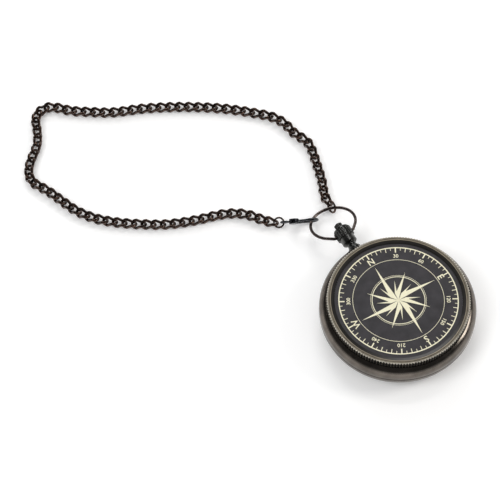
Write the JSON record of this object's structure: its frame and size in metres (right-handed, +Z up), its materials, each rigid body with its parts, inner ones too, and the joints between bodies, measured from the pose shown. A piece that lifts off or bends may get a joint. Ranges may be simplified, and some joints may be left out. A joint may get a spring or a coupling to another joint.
{
  "type": "pocket compass",
  "caption": "Round pocket compass with a knurled screw lid, a pendant with a swinging wire bow, and a loose curb chain that ends in a lobster clasp.",
  "frame": {"origin": "centre of the flat base, on the table", "axes": "+Z up through the lid, +Y out along the pendant, +X to the right of the pendant seen from above"},
  "size_m": [0.1014, 0.1537, 0.0135],
  "materials": {
    "case_metal": "dark bronze plating, polished",
    "lid_metal": "dark bronze plating, worn bright on the knurl",
    "lid_print": "satin enamel with a cream print",
    "pendant_metal": "dark grey plating, satin",
    "bow_metal": "dark bronze plating, polished",
    "chain_metal": "antique bronze, dark",
    "gasket": "matt",
    "dial_brass": "satin",
    "dial_card": "matt print",
    "steel": "satin",
    "jewel": "polished",
    "needle_red": "gloss paint",
    "glass": "clear"
  },
  "bodies": {
    "case": {"case_body": "case_metal", "dial_plate": "dial_brass", "dial_card": "dial_card", "pivot_boss": "dial_brass", "pivot_pin": "steel", "spacer_ring": "dial_brass", "crystal": "glass", "crystal_snap_ring": "steel", "pendant_stem": "pendant_metal", "bow_block": "pendant_metal", "pendant_collar": "pendant_metal", "pendant_knob": "pendant_metal"},
    "needle": {"needle_jewel": "jewel", "needle_hub": "dial_brass", "needle_north": "needle_red", "needle_south": "steel"},
    "lid_carrier": {"lid_gasket": "gasket"},
    "lid": {"lid_rim": "lid_metal", "lid_plate": "lid_print"},
    "bow": {"bow": "bow_metal"},
    "chain": {"jump_ring": "chain_metal", "chain_links_1": "chain_metal", "chain_links_2": "chain_metal", "chain_links_3": "chain_metal", "chain_links_4": "chain_metal", "chain_links_5": "chain_metal", "chain_links_6": "chain_metal", "chain_end_ring": "chain_metal", "clasp_body": "chain_metal", "clasp_rivet": "steel", "clasp_spring": "steel"},
    "clasp_gate": {"clasp_lever": "chain_metal"}
  },
  "joints": [
    {"name": "needle_spin", "type": "hinge", "parent": "case", "child": "needle", "pos_m": [0, 0, 0.0083], "axis": [0, 0, 1], "continuous": true},
    {"name": "lid_lift", "type": "slide", "parent": "case", "child": "lid_carrier", "axis": [0, 0, 1], "range_m": [0, 0.03]},
    {"name": "lid_turn", "type": "hinge", "parent": "lid_carrier", "child": "lid", "pos_m": [0, 0, 0.012], "axis": [0, 0, 1], "range_deg": [0, 1080]},
    {"name": "bow_swing", "type": "hinge", "parent": "case", "child": "bow", "pos_m": [0, 0.0315, 0.0074], "axis": [1, 0, 0], "range_deg": [0, 90]},
    {"name": "chain_level", "type": "hinge", "parent": "bow", "child": "chain", "pos_m": [0, 0.04393, 0.00238], "axis": [1, 0, 0], "range_deg": [-90, 0]},
    {"name": "clasp_gate_open", "type": "hinge", "parent": "chain", "child": "clasp_gate", "pos_m": [-0.00971, 0.046, 0.0029], "axis": [0.4255, 0.8275, 0.3663], "range_deg": [0, 25], "stiffness_Nm_per_rad": 0.002, "springref_deg": -11.46}
  ],
  "couplings": [
    {"joint": "lid_turn", "follows": "lid_lift", "rad_per_m": 628.32},
    {"joint": "chain_level", "follows": "bow_swing", "ratio": -1}
  ]
}
